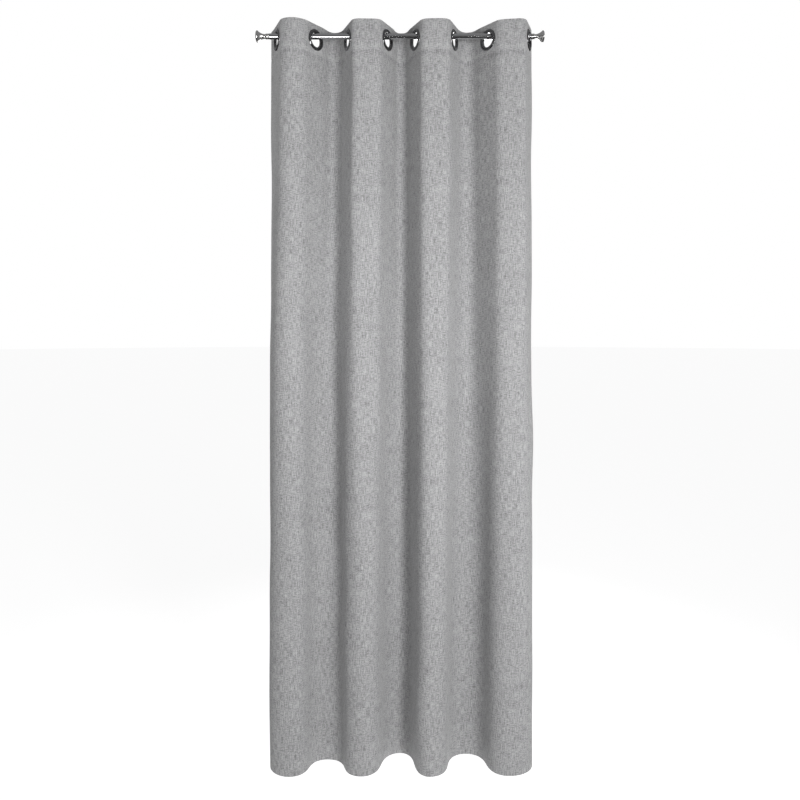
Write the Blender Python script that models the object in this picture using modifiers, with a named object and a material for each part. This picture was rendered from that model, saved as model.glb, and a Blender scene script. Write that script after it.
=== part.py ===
"""Eyelet curtain panel on its rod: a flat hemmed cloth, gathered into even folds that hang from a thin metal rod.

Frame: the origin is on the rod's axis at mid-length, +X along the rod, +Y away from the room, +Z up.

The cloth is cut along the crest of every fold into upright strips, one for each eyelet. Neighbouring strips
are hinged on the crest, on the inner side of the bend, halfway between their two eyelets. When one strip
turns one way and the next turns the other way by as much, every eyelet stays on the rod.
"""

import math

import bmesh
import bpy
import numpy as np
from mathutils import Matrix

# Driving dimensions, in metres, degrees or shares of another size.
PANEL_DROP = 2.45  # finished height of the cloth
EYELET_SPACING = 0.18  # between eyelet centres, along the flat cloth
SIDE_MARGIN = 0.07  # flat cloth beyond the outer eyelets
EYELET_DROP = 0.052  # eyelet centre below the top edge
HEADER_DEPTH = 0.10
BOTTOM_HEM = 0.08
SIDE_HEM = 0.03
CLOTH = 0.0008
TAPE = 0.0005  # stiffening tape inside the header

HUNG_SHARE = (0.706, 0.589, 0.723, 0.512, 0.710, 0.620, 0.747)  # distance left between eyelets, of the spacing
EYELET_TURN = (67, 50, 68, 61, 63, 68, 50, 72)  # wanted angle between each eyelet's plane and the rod
TURN_EASE = 4.0  # how far a turn may give, against BOW_EASE, to close the folds
BOW_EASE = 0.3  # radians
SIDE_CURL = (-7.0, 18.0)  # how much more a free edge turns than its eyelet

EYELET_OUTER_R = 0.0345
EYELET_INNER_R = 0.023
EYELET_WALL = 0.0014
EYELET_CROWN = 0.0036
EYELET_BACK = 0.0022
SHOULDER = 0.7  # height of an eyelet's rounded edges, of its crown or back
BORE_LIP = 0.33  # height of the front half's inner edge, of its crown

ROD_R = 0.0095
ROD_WALL = 0.001
ROD_SPARE = (0.025, 0.0056)  # tube beyond the centres of the first and last eyelets

FINIAL_LENGTH = 0.045
FINIAL_RIM_R = 0.019
FINIAL_WAIST_R = 0.0072
FINIAL_DOME = 0.0028
FINIAL_RIM = 0.0055  # height of the rounded rim
FINIAL_COLLAR = 0.013
BEADS = 3
BEAD_SHARE = 0.5  # of a bead's pitch, the rest is its groove
DOME_SHARE = 0.9  # radius of the tip's dome, of the rim's
RIM_EDGE = 0.97  # radius where the rim turns over, of its largest
FLARE_POWER = 2.2  # how late the trumpet opens
PLUG_LENGTH = 0.03
PLUG_FINS = 4
PLUG_FIN_DEPTH = 0.001
FIN_SHARE = 0.45  # of a fin's pitch, before it slopes to the core
FIN_SLOPE = 0.1

SEAT = 0.0003  # between pieces that touch
HINGE_GAP = 0.0006  # between the cloths of neighbouring strips
LINING_RELIEF = 0.0014  # the back layers stop this far short of a crest
HOLE_CLEARANCE = 0.0006
HANG_CLEARANCE = 0.0003  # between the rod and the bore that comes nearest to it

ROUND_STEPS = 20
ROD_STEPS = 24
FOLD_STEPS = 120  # for adding up a fold's path
BEND_SIDES = 15  # of a fold's bend in the solid

# Sizes that follow.
EYELETS = len(EYELET_TURN)
GAPS = EYELET_SPACING * np.array(HUNG_SHARE)
ROD_LENGTH = float(GAPS.sum()) + sum(ROD_SPARE)
EYELET_X = -ROD_LENGTH / 2 + ROD_SPARE[0] + np.concatenate([[0.0], np.cumsum(GAPS)])
FLAT = 2 * EYELET_OUTER_R  # cloth that an eyelet clamps flat
BEND = EYELET_SPACING - FLAT  # cloth left for each fold's bend
COLLAR_R = EYELET_INNER_R + EYELET_WALL
TAPE_OFFSET = CLOTH / 2 + SEAT + TAPE / 2
TURNING_OFFSET = CLOTH / 2 + SEAT + TAPE + SEAT + CLOTH / 2
HEM_OFFSET = CLOTH + SEAT
BACK_SEAT = TURNING_OFFSET + CLOTH / 2 + SEAT

GREY_CLOTH = (0.33, 0.33, 0.34, 1.0)
TAPE_WHITE = (0.8, 0.8, 0.78, 1.0)
DARK_CHROME = (0.3, 0.3, 0.31, 1.0)
CHROME = (0.62, 0.62, 0.63, 1.0)
PLUG_GREY = (0.08, 0.08, 0.08, 1.0)


def clear_scene():
    for thing in list(bpy.data.objects):
        bpy.data.objects.remove(thing)


def collection(name):
    made = bpy.data.collections.new(name)
    bpy.context.scene.collection.children.link(made)
    return made


def material(name, colour, roughness, metallic):
    made = bpy.data.materials.new(name)
    made.use_nodes = True
    shader = made.node_tree.nodes["Principled BSDF"]
    shader.inputs["Base Color"].default_value = colour
    shader.inputs["Roughness"].default_value = roughness
    shader.inputs["Metallic"].default_value = metallic
    made.diffuse_color = colour
    return made


def place(name, mesh, parent, finish=None, group=None):
    """An object on its parent empty, in the curtain's collection unless another is given."""
    made = bpy.data.objects.new(name, mesh)
    made.parent = parent
    if finish:
        mesh.materials.append(finish)
    (group or CURTAIN).objects.link(made)
    return made


def empty(name, position, parent=None):
    made = bpy.data.objects.new(name, None)
    made.parent = parent
    made.location = position
    CURTAIN.objects.link(made)
    return made


def fold_angles(start, end, bow, share):
    """Angles of a fold's bend to the rod, at shares of its length: straight from start to -end, plus two sines."""
    straight = start - (start + end) * share
    return straight + bow[..., :1] * np.sin(math.pi * share) + bow[..., 1:] * np.sin(2 * math.pi * share)


def close_folds():
    """Turns of the eyelets and bows of the folds, near the wanted ones, with which every eyelet lies on the rod.

    A fold is the straight half of one eyelet, a bend and the straight half of the next. It closes when it ends
    one gap along the rod and at no depth. Newton steps of least size share the error between turns and bows.
    """
    share = (np.arange(FOLD_STEPS) + 0.5) / FOLD_STEPS
    ease = np.concatenate([np.full(EYELETS, math.radians(TURN_EASE)), np.full(2 * len(GAPS), BOW_EASE)])
    found = np.concatenate([np.radians(EYELET_TURN), np.zeros(2 * len(GAPS))]) / ease

    def misfit(values):
        turns, bows = np.split(values * ease, [EYELETS])
        start, end = turns[:-1, None], turns[1:, None]
        angles = fold_angles(start, end, bows.reshape(-1, 2), share)
        along = BEND * np.cos(angles).mean(1) + FLAT / 2 * (np.cos(start) + np.cos(end))[:, 0] - GAPS
        depth = BEND * np.sin(angles).mean(1) + FLAT / 2 * (np.sin(start) - np.sin(end))[:, 0]
        return np.concatenate([along, depth])

    nudge = 1e-6
    for _ in range(12):
        error = misfit(found)
        slopes = [(misfit(found + nudge * unit) - error) / nudge for unit in np.eye(len(found))]
        found = found - np.linalg.pinv(np.stack(slopes, 1)) @ error
    turns, bows = np.split(found * ease, [EYELETS])
    return turns, bows.reshape(-1, 2)


def hang_depth():
    """How far the eyelet centres lie below the rod's axis.

    A bore turned away from the rod meets it askew: at the bore's deeper edge, the line along the rod at a
    sideways offset passes (edge * cos(turn) + offset) / sin(turn) beside the bore's middle. The eyelets hang
    as low as the least height left between that line and the bore's flats above it allows.
    """
    bore = EYELET_INNER_R * math.cos(math.pi / ROUND_STEPS) - HANG_CLEARANCE
    offset = np.linspace(0.0, ROD_R, ROD_STEPS)
    turn = TURNS[:, None]
    beside = ((BACK_SEAT + EYELET_BACK) * np.cos(turn) + offset) / np.sin(turn)
    return float((np.sqrt(bore**2 - beside**2) - np.sqrt(ROD_R**2 - offset**2)).min())


def walk(angles, step, start):
    """Points reached from start by equal steps in the given directions."""
    moves = step * np.stack([np.cos(angles), np.sin(angles)], 1)
    return np.concatenate([[start], start + np.cumsum(moves, 0)])


def fold_path(index):
    """Points from one eyelet centre to the next, seen from above, and the side on which the crest lies."""
    side = -1.0 if index % 2 == 0 else 1.0
    share = (np.arange(FOLD_STEPS) + 0.5) / FOLD_STEPS
    angles = side * fold_angles(TURNS[index], TURNS[index + 1], BOWS[index], share)
    first = np.array([EYELET_X[index], 0.0])
    last = np.array([EYELET_X[index + 1], 0.0])
    lead = first + FLAT / 2 * np.array([math.cos(TURNS[index]), side * math.sin(TURNS[index])])
    bend = walk(angles, BEND / FOLD_STEPS, lead)
    return np.concatenate([[first], bend[:: FOLD_STEPS // BEND_SIDES], [last]])


def crest(index):
    """Point of the cloth's middle halfway between two eyelets, where it is cut."""
    path = fold_path(index)
    middle = (path[0, 0] + path[-1, 0]) / 2
    return np.array([middle, np.interp(middle, path[:, 0], path[:, 1])])


def side_edge(end):
    """Path from the outer eyelet's centre to the free edge at end -1 (left) or +1 (right)."""
    eyelet = 0 if end < 0 else EYELETS - 1
    heading = heading_of(eyelet) + (math.pi if end < 0 else 0.0)
    curl = math.radians(SIDE_CURL[0 if end < 0 else 1]) * (-1.0 if end < 0 else 1.0)
    start = np.array([EYELET_X[eyelet], 0.0])
    lead = start + FLAT / 2 * np.array([math.cos(heading), math.sin(heading)])
    sides = BEND_SIDES // 2
    share = (np.arange(sides) + 0.5) / sides
    bend = walk(heading + curl * share, (SIDE_MARGIN - FLAT / 2) / sides, lead)
    return np.concatenate([[start], bend])


def heading_of(eyelet):
    """Direction of the cloth through an eyelet, from left to right."""
    return TURNS[eyelet] * (-1.0 if eyelet % 2 == 0 else 1.0)


def strip_path(strip):
    """Middle line of a strip's cloth, from its left end to its right end, through its eyelet."""
    if strip == 0:
        left = side_edge(-1)[::-1]
    else:
        path, cut = fold_path(strip - 1), crest(strip - 1)
        left = np.concatenate([[cut], path[path[:, 0] > cut[0]]])
    if strip == EYELETS - 1:
        right = side_edge(+1)
    else:
        path, cut = fold_path(strip), crest(strip)
        right = np.concatenate([path[path[:, 0] < cut[0]], [cut]])
    return np.concatenate([left[:-1], right[1:]])


def lengths(path):
    return np.concatenate([[0.0], np.cumsum(np.linalg.norm(np.diff(path, axis=0), axis=1))])


def shift_back(path, offset):
    """The path moved towards the back of the cloth."""
    along = np.gradient(path, lengths(path), axis=0)
    along /= np.linalg.norm(along, axis=1)[:, None]
    return path + offset * np.stack([-along[:, 1], along[:, 0]], 1)


def trim(path, start, end):
    """The part of a path between two lengths along it."""
    run = lengths(path)
    inside = path[(run > start + SEAT) & (run < end - SEAT)]
    ends = [[np.interp(at, run, path[:, axis]) for axis in (0, 1)] for at in (start, end)]
    return np.concatenate([ends[:1], inside, ends[1:]])


def upright_sheet(name, path, origin, low, high, thickness, parent, finish):
    """A sheet that stands on a path: the path's edges drawn upwards, then thickened evenly to both sides."""
    form = bmesh.new()
    corners = [form.verts.new((x - origin[0], y - origin[1], low)) for x, y in path]
    edges = [form.edges.new(pair) for pair in zip(corners, corners[1:])]
    drawn = bmesh.ops.extrude_edge_only(form, edges=edges)["geom"]
    raised = [item for item in drawn if isinstance(item, bmesh.types.BMVert)]
    bmesh.ops.translate(form, verts=raised, vec=(0, 0, high - low))
    bmesh.ops.recalc_face_normals(form, faces=form.faces)
    mesh = bpy.data.meshes.new(name)
    form.to_mesh(mesh)
    form.free()
    made = place(name, mesh, parent, finish)
    shell = made.modifiers.new("thickness", "SOLIDIFY")
    shell.thickness = thickness
    shell.offset = 0.0
    shell.use_even_offset = True
    return made


def eyelet_pose(strip, origin):
    """Local X up, local Z out of the front of the cloth, at the eyelet's centre."""
    heading = heading_of(strip)
    up = (0.0, 0.0, 1.0)
    front = (math.sin(heading), -math.cos(heading), 0.0)
    across = (math.cos(heading), math.sin(heading), 0.0)
    turned = Matrix((up, across, front)).transposed().to_4x4()
    return Matrix.Translation((EYELET_X[strip] - origin[0], -origin[1], EYELET_Z)) @ turned


def hole_cutter(strip, origin, parent):
    form = bmesh.new()
    radius = COLLAR_R + HOLE_CLEARANCE
    bmesh.ops.create_cone(
        form, cap_ends=True, segments=ROUND_STEPS, radius1=radius, radius2=radius, depth=EYELET_OUTER_R
    )
    mesh = bpy.data.meshes.new("hole")
    form.to_mesh(mesh)
    form.free()
    made = place(f"hole_{strip + 1}", mesh, parent, group=CUTTERS)
    made.matrix_local = eyelet_pose(strip, origin)
    made.hide_render = True
    made.display_type = "WIRE"
    return made


def cut(sheet, cutter):
    hole = sheet.modifiers.new("hole", "BOOLEAN")
    hole.operation = "DIFFERENCE"
    hole.object = cutter


def turned(name, profile, parent, finish, steps, closed):
    """A profile of (radius, height) turned about local Z."""
    joins = list(zip(range(len(profile) - 1), range(1, len(profile))))
    if closed:
        joins.append((len(profile) - 1, 0))
    mesh = bpy.data.meshes.new(name)
    mesh.from_pydata([(radius, 0.0, height) for radius, height in profile], joins, [])
    made = place(name, mesh, parent, finish)
    screw = made.modifiers.new("turn", "SCREW")
    screw.steps = screw.render_steps = steps
    screw.use_merge_vertices = True
    screw.merge_threshold = 1e-5
    return made


def eyelet_front_profile():
    """Crowned rim, flat seat and the collar that reaches through the cloth, from the crown down the outside."""
    seat = CLOTH / 2 + SEAT
    crown_r = (EYELET_OUTER_R + COLLAR_R) / 2
    return [
        (crown_r, seat + EYELET_CROWN),
        (EYELET_OUTER_R - EYELET_WALL, seat + EYELET_CROWN * SHOULDER),
        (EYELET_OUTER_R, seat),
        (COLLAR_R, seat),
        (COLLAR_R, -(BACK_SEAT + EYELET_BACK)),
        (EYELET_INNER_R, -(BACK_SEAT + EYELET_BACK)),
        (EYELET_INNER_R, seat + EYELET_CROWN * BORE_LIP),
        (EYELET_INNER_R + EYELET_WALL, seat + EYELET_CROWN * SHOULDER),
    ]


def eyelet_back_profile():
    """Flatter ring that snaps on the collar behind the cloth."""
    crown_r = (EYELET_OUTER_R + COLLAR_R) / 2
    return [
        (COLLAR_R + SEAT, -BACK_SEAT),
        (EYELET_OUTER_R, -BACK_SEAT),
        (EYELET_OUTER_R - EYELET_WALL, -(BACK_SEAT + EYELET_BACK * SHOULDER)),
        (crown_r, -(BACK_SEAT + EYELET_BACK)),
        (COLLAR_R + SEAT, -(BACK_SEAT + EYELET_BACK * SHOULDER)),
    ]


def add_eyelet(strip, origin, parent):
    pose = eyelet_pose(strip, origin)
    front = turned(
        f"eyelet_front_{strip + 1}", eyelet_front_profile(), parent, EYELET_FINISH, ROUND_STEPS, closed=True
    )
    back = turned(
        f"eyelet_back_{strip + 1}", eyelet_back_profile(), parent, EYELET_FINISH, ROUND_STEPS, closed=True
    )
    front.matrix_local = pose
    back.matrix_local = pose


def pivot_of(strip):
    """Upright axis that a strip turns on: its own eyelet for the first, the inner side of a crest for the rest."""
    if strip == 0:
        return np.array([EYELET_X[0], 0.0])
    point = crest(strip - 1)
    inner = 1.0 if (strip - 1) % 2 == 0 else -1.0
    return point + np.array([0.0, inner * CLOTH / 2])


def back_layer(strip, path, offset):
    """A layer behind the cloth, held back from the crests, so that it clears its neighbour as the fold closes."""
    run = lengths(path)[-1]
    start = 0.0 if strip == 0 else LINING_RELIEF
    end = run if strip == EYELETS - 1 else run - LINING_RELIEF
    return shift_back(trim(path, start, end), offset)


def add_side_hem(name, path, origin, parent):
    """The cloth's free side edge, turned to the back, between the header and the bottom hem."""
    low, high = BOTTOM_Z + BOTTOM_HEM + SEAT, TOP_Z - HEADER_DEPTH - SEAT
    upright_sheet(name, shift_back(path, HEM_OFFSET), origin, low, high, CLOTH, parent, CLOTH_FINISH)


def add_strip(strip, parent, parent_pivot):
    pivot = pivot_of(strip)
    body = empty(f"strip_{strip + 1}_axis", (*(pivot - parent_pivot), 0.0), parent)
    path = strip_path(strip)
    run = lengths(path)[-1]
    start = 0.0 if strip == 0 else HINGE_GAP / 2
    end = run if strip == EYELETS - 1 else run - HINGE_GAP / 2
    number = strip + 1
    face = upright_sheet(
        f"cloth_{number}", trim(path, start, end), pivot, BOTTOM_Z, TOP_Z, CLOTH, body, CLOTH_FINISH
    )
    low = TOP_Z - HEADER_DEPTH
    tape = upright_sheet(
        f"header_tape_{number}", back_layer(strip, path, TAPE_OFFSET), pivot, low, TOP_Z, TAPE, body, TAPE_FINISH
    )
    turning = upright_sheet(
        f"header_turning_{number}", back_layer(strip, path, TURNING_OFFSET), pivot, low, TOP_Z, CLOTH, body,
        CLOTH_FINISH,
    )
    upright_sheet(
        f"bottom_hem_{number}", back_layer(strip, path, HEM_OFFSET), pivot, BOTTOM_Z, BOTTOM_Z + BOTTOM_HEM,
        CLOTH, body, CLOTH_FINISH,
    )
    cutter = hole_cutter(strip, pivot, body)
    for sheet in (face, tape, turning):
        cut(sheet, cutter)
    add_eyelet(strip, pivot, body)
    if strip == 0:
        add_side_hem("side_hem_left", trim(path, 0.0, SIDE_HEM), pivot, body)
    if strip == EYELETS - 1:
        add_side_hem("side_hem_right", trim(path, run - SIDE_HEM, run), pivot, body)
    return body, pivot


def along_x(end):
    """Turns local Z to +X, or to -X at the left end."""
    return Matrix.Rotation(math.radians(90.0 * end), 4, "Y")


def add_rod():
    half = ROD_LENGTH / 2
    inner = ROD_R - ROD_WALL
    profile = [(ROD_R, half), (ROD_R, -half), (inner, -half), (inner, half)]
    turned("rod_tube", profile, ROOT, CHROME_FINISH, ROD_STEPS, closed=True).matrix_local = along_x(1)


def finial_profile():
    """From the tip down: shallow dome, rounded rim, trumpet to the waist, then a beaded collar."""
    dome = [
        (FINIAL_RIM_R * DOME_SHARE * math.sin(turn), FINIAL_LENGTH - FINIAL_DOME * (1 - math.cos(turn)))
        for turn in np.radians([0, 30, 60])
    ]
    rim_low = FINIAL_LENGTH - FINIAL_DOME - FINIAL_RIM
    rim = [(FINIAL_RIM_R * RIM_EDGE, FINIAL_LENGTH - FINIAL_DOME), (FINIAL_RIM_R, rim_low + FINIAL_RIM / 2)]
    flare = [
        (FINIAL_WAIST_R + (FINIAL_RIM_R * RIM_EDGE - FINIAL_WAIST_R) * share**FLARE_POWER,
         FINIAL_COLLAR + (rim_low - FINIAL_COLLAR) * share)
        for share in np.linspace(1, 0, 6)
    ]
    pitch = FINIAL_COLLAR / BEADS
    beads = []
    for bead in range(BEADS, 0, -1):
        middle = (bead - 0.5) * pitch
        half = BEAD_SHARE * pitch / 2
        beads += [(ROD_R - SEAT, middle + half), (ROD_R - SEAT, middle - half)]
        if bead > 1:
            beads.append((FINIAL_WAIST_R, (bead - 1) * pitch))
    return dome + rim + flare + beads + [(ROD_R - SEAT, SEAT), (0.0, SEAT)]


def plug_profile():
    """Finned plug that grips the tube's bore."""
    outer = ROD_R - ROD_WALL - SEAT
    core = outer - PLUG_FIN_DEPTH
    pitch = PLUG_LENGTH / PLUG_FINS
    points = [(0.0, 0.0), (outer, 0.0)]
    for fin in range(PLUG_FINS):
        points += [(outer, -(fin + FIN_SHARE) * pitch), (core, -(fin + FIN_SHARE + FIN_SLOPE) * pitch)]
        if fin < PLUG_FINS - 1:
            points += [(core, -(fin + 1 - FIN_SLOPE) * pitch), (outer, -(fin + 1) * pitch)]
    return points + [(core, -PLUG_LENGTH), (0.0, -PLUG_LENGTH)]


def add_finial(name, end):
    body = empty(f"finial_{name}_axis", (end * ROD_LENGTH / 2, 0.0, 0.0), ROOT)
    turned(f"finial_{name}", finial_profile(), body, CHROME_FINISH, ROUND_STEPS, closed=False)
    turned(f"finial_plug_{name}", plug_profile(), body, PLUG_FINISH, ROUND_STEPS, closed=False)
    for piece in body.children:
        piece.matrix_local = along_x(end)


def smooth_rounds():
    for thing in CURTAIN.objects:
        if thing.type == "MESH":
            thing.data.shade_smooth()


clear_scene()
CURTAIN = collection("eyelet_curtain")
CUTTERS = collection("cutters")
CLOTH_FINISH = material("grey_cloth", GREY_CLOTH, 0.9, 0.0)
TAPE_FINISH = material("header_tape", TAPE_WHITE, 0.9, 0.0)
EYELET_FINISH = material("dark_chrome", DARK_CHROME, 0.2, 1.0)
CHROME_FINISH = material("chrome", CHROME, 0.12, 1.0)
PLUG_FINISH = material("plug_plastic", PLUG_GREY, 0.5, 0.0)
TURNS, BOWS = close_folds()
EYELET_Z = -hang_depth()
TOP_Z = EYELET_Z + EYELET_DROP
BOTTOM_Z = TOP_Z - PANEL_DROP
ROOT = empty("rod_axis", (0.0, 0.0, 0.0))
add_rod()
add_finial("left", -1)
add_finial("right", 1)
BODY, PIVOT = ROOT, np.zeros(2)
for number in range(EYELETS):
    BODY, PIVOT = add_strip(number, BODY, PIVOT)
smooth_rounds()
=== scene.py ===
# %% [markdown]
# # An eyelet curtain on its rod
#
# A curtain panel is one long cloth. Its top is turned to the back over a stiff tape, metal eyelets are
# pressed through the layers, and a rod runs through the eyelets in and out, so that the cloth hangs in
# deep folds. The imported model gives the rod, the eyelets and the hinges where they are. Everything below
# is worked out from those places, so that the soft pieces sit exactly where the hard ones hold them.

# %% The frame
import math

import bmesh
import bpy
import numpy as np
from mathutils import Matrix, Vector


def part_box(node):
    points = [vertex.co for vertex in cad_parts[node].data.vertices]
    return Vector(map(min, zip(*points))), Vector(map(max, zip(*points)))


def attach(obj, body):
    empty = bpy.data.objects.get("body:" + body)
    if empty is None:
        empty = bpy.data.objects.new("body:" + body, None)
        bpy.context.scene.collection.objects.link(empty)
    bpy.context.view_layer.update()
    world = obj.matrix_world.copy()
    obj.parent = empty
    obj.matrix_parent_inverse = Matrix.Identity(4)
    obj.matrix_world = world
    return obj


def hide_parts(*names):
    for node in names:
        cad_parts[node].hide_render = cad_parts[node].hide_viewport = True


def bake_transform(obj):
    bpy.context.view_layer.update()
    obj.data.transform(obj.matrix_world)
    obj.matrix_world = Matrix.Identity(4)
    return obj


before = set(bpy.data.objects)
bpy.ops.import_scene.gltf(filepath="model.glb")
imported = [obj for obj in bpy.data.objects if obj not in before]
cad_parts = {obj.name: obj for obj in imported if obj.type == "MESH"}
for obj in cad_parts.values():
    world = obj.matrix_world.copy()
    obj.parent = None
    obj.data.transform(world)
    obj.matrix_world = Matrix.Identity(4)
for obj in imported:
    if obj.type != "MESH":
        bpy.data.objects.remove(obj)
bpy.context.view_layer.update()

# %% [markdown]
# ## Measuring the hard pieces
#
# An eyelet's ring is round, so the mean of its corners lies on its axis, and the level direction in which
# the corners spread most is the direction in which the cloth runs through it. Reading both from the frame
# keeps this script true when the model is packed again with another size.

# %% Where the eyelets are and how they stand
EYELETS = 8


def corners(node):
    """Every corner of a CAD node's mesh, as rows of x, y and z."""
    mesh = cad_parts[node].data
    flat = np.empty(3 * len(mesh.vertices))
    mesh.vertices.foreach_get("co", flat)
    return flat.reshape(-1, 3)


def eyelet_stance(number):
    """Place along the rod and heading of the cloth at one eyelet.

    The heading is the direction of largest spread seen from above. The ring's middle is slid along its axis,
    at right angles to the heading, until it lies under the rod.
    """
    points = corners(f"eyelet_front_{number}")
    middle = points.mean(0)
    spread, directions = np.linalg.eigh(np.cov((points - middle)[:, :2].T))
    along = directions[:, spread.argmax()]
    heading = math.atan(along[1] / along[0])
    return middle[0] + middle[1] * math.tan(heading), heading


stances = np.array([eyelet_stance(number + 1) for number in range(EYELETS)])
eyelet_x, headings = stances.T
ring_low, ring_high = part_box("eyelet_front_1")
RING_R = (ring_high.z - ring_low.z) / 2
EYELET_Z = (ring_high.z + ring_low.z) / 2
cloth_low, cloth_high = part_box("cloth_1")
TOP_Z, DROP = cloth_high.z, cloth_high.z - cloth_low.z
HEADER = TOP_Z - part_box("header_turning_1")[0].z
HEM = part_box("bottom_hem_1")[1].z - cloth_low.z
rod_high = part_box("rod_tube")[1]
ROD_R = rod_high.z
ROD_END = rod_high.x
print("eyelets at", eyelet_x.round(4), "headings", np.degrees(headings).round(1))

# %% [markdown]
# ## The cloth as a set of directions
#
# A cloth bends but hardly stretches. So instead of drawing its outline, we keep the direction in which it
# runs at every point of its flat width, and add up equal steps in those directions. Whatever the
# directions are, the cloth keeps its length. Each fold's directions are bent by two smooth waves until
# the steps end where the next eyelet is: two unknown amounts for two distances, which Newton's method
# finds in a few rounds.

# %% A bend that closes
SPACING = 0.18  # flat cloth between two eyelets
MARGIN = 0.07  # flat cloth beyond the outer eyelets
WIDTH = (EYELETS - 1) * SPACING + 2 * MARGIN
STEPS = 200  # equal steps of one bend
NEWTON_ROUNDS = 12
share = (np.arange(STEPS) + 0.5) / STEPS


def close_bend(directions, waves, length, reach, amounts):
    """Directions plus two waves, in the amounts with which the bend ends at reach, (x, y) from its start.

    Each round compares the sum of the steps with reach, and takes the amounts along the slopes of that sum.
    """
    step = length / STEPS
    for _ in range(NEWTON_ROUNDS):
        angles = directions + amounts @ waves
        gone = step * np.array([np.cos(angles).sum(), np.sin(angles).sum()])
        gains = step * np.array([-waves @ np.sin(angles), waves @ np.cos(angles)])
        amounts = amounts + np.linalg.lstsq(gains, reach - gone, rcond=None)[0]
    return directions + amounts @ waves


print("flat cloth", round(WIDTH, 3), "m wide")

# %% The cloth at the eyelets
LINES = 701  # upright lines of the fine measuring grid
across = np.linspace(0, WIDTH, LINES)
middles = (across[1:] + across[:-1]) / 2
eyelet_s = MARGIN + SPACING * np.arange(EYELETS)
CURL = np.radians([-7.0, 18.0])  # how much more a free edge turns than its eyelet


def top_directions():
    """Directions along the cloth's top: flat through each eyelet, bent in between, curled at the edges."""
    angles = np.interp(middles, eyelet_s, headings)
    for fold in range(EYELETS - 1):
        start, end = headings[fold : fold + 2]
        stiff = RING_R * np.array([math.cos(start) + math.cos(end), math.sin(start) + math.sin(end)])
        reach = np.array([eyelet_x[fold + 1] - eyelet_x[fold], 0.0]) - stiff
        waves = np.array([np.sin(np.pi * share), np.sin(2 * np.pi * share)])
        length = SPACING - 2 * RING_R
        bend = close_bend(start + (end - start) * share, waves, length, reach, np.zeros(2))
        place = (middles - eyelet_s[fold] - RING_R) / length
        held = (middles > eyelet_s[fold]) & (middles < eyelet_s[fold + 1])
        angles[held] = np.interp(place[held], share, bend, left=start, right=end)
    for edge, eyelet, sign in ((0, 0, -1.0), (1, EYELETS - 1, 1.0)):
        beyond = sign * (middles - eyelet_s[eyelet]) - RING_R
        free = sign * (middles - eyelet_s[eyelet]) > 0
        curled = np.clip(beyond / (MARGIN - RING_R), 0, 1)
        angles[free] = headings[eyelet] + sign * CURL[edge] * curled[free]
    return angles


top_angles = top_directions()
print("directions along the top", np.degrees([top_angles.min(), top_angles.max()]).round(), "degrees")

# %% [markdown]
# ## The cloth at the hem
#
# Eyelets force the folds at the top, but two and a half metres further down the cloth hangs freely. Its
# folds wander a little: some open, some grow deeper, and the crests round off. The hem is drawn through
# the crests below, nearest the room and farthest from it in turn. Between two crests the direction swings
# out and back, and the side edges curl away behind.

# %% Crests of the hem
HEM_CRESTS = np.array([
    (-0.361, -0.046), (-0.241, 0.048), (-0.1235, -0.045), (0.0, 0.083), (0.0945, -0.046), (0.224, 0.077),
    (0.354, -0.041),
])
EDGE_RUN = (0.155, 0.160)  # flat cloth from each side edge to the nearest crest
EDGE_PLACE = np.array([(-0.403, 0.058), (0.425, 0.062)])
CREST_SWING = 1.2  # first guess of how far the cloth turns between two crests, in radians
EDGE_SWING = 1.7  # and of how far it turns back at a side edge


def hem_directions():
    """Directions of the cloth along its bottom edge.

    The flat cloth is shared out between crests by their distances apart. Between two crests the direction
    swings out and back as half a sine, plus a wave a third as long, so that the bend ends on the next crest.
    """
    gaps = np.diff(HEM_CRESTS, axis=0)
    chords = np.hypot(*gaps.T)
    runs = chords * (WIDTH - sum(EDGE_RUN)) / chords.sum()
    waves = np.array([np.sin(np.pi * share), np.sin(3 * np.pi * share)])
    swings = [
        close_bend(0 * share, waves, run, gap, np.array([math.copysign(CREST_SWING, gap[1]), 0.0]))
        for run, gap in zip(runs, gaps)
    ]
    left = close_bend(
        0 * share, np.array([1 - share, np.sin(np.pi * share)]), EDGE_RUN[0],
        HEM_CRESTS[0] - EDGE_PLACE[0], np.array([-EDGE_SWING, 0.0]),
    )
    right = close_bend(
        0 * share, np.array([share, np.sin(np.pi * share)]), EDGE_RUN[1],
        EDGE_PLACE[1] - HEM_CRESTS[-1], np.array([EDGE_SWING, 0.0]),
    )
    runs = np.concatenate([EDGE_RUN[:1], runs, EDGE_RUN[1:]])
    starts = np.concatenate([[0.0], np.cumsum(runs)[:-1]])
    places = (starts[:, None] + runs[:, None] * share).ravel()
    return np.interp(middles, places, np.concatenate([left, *swings, right]))


hem_angles = hem_directions()
print("directions along the hem", np.degrees([hem_angles.min(), hem_angles.max()]).round(), "degrees")

# %% [markdown]
# ## From top to hem
#
# The directions of any level are a mix of those two, with more of the hem's the further down. Adding them
# up gives a level's path, which is then set so that its middle moves evenly from the top's to the hem's.
# The result is a measuring grid: for any place on the flat cloth it gives the place in the room.

# %% The measuring grid
LEVELS = 120
down = np.linspace(0, DROP, LEVELS)
SETTLE = 0.06  # the header's stiff tape keeps its shape this far down
EVEN_SHARE = 0.35  # how much of the change from top to hem is even; the rest starts and ends slowly


def ease(value):
    """A smooth step from 0 to 1."""
    value = np.clip(value, 0, 1)
    return value * value * (3 - 2 * value)


def run_out(angles):
    """Paths that start at 0 and take equal steps in the given directions, one path a row."""
    step = WIDTH / (LINES - 1)
    path = np.stack([np.cos(angles), np.sin(angles)], -1).cumsum(-2) * step
    return np.concatenate([0 * path[..., :1, :], path], -2)


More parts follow.
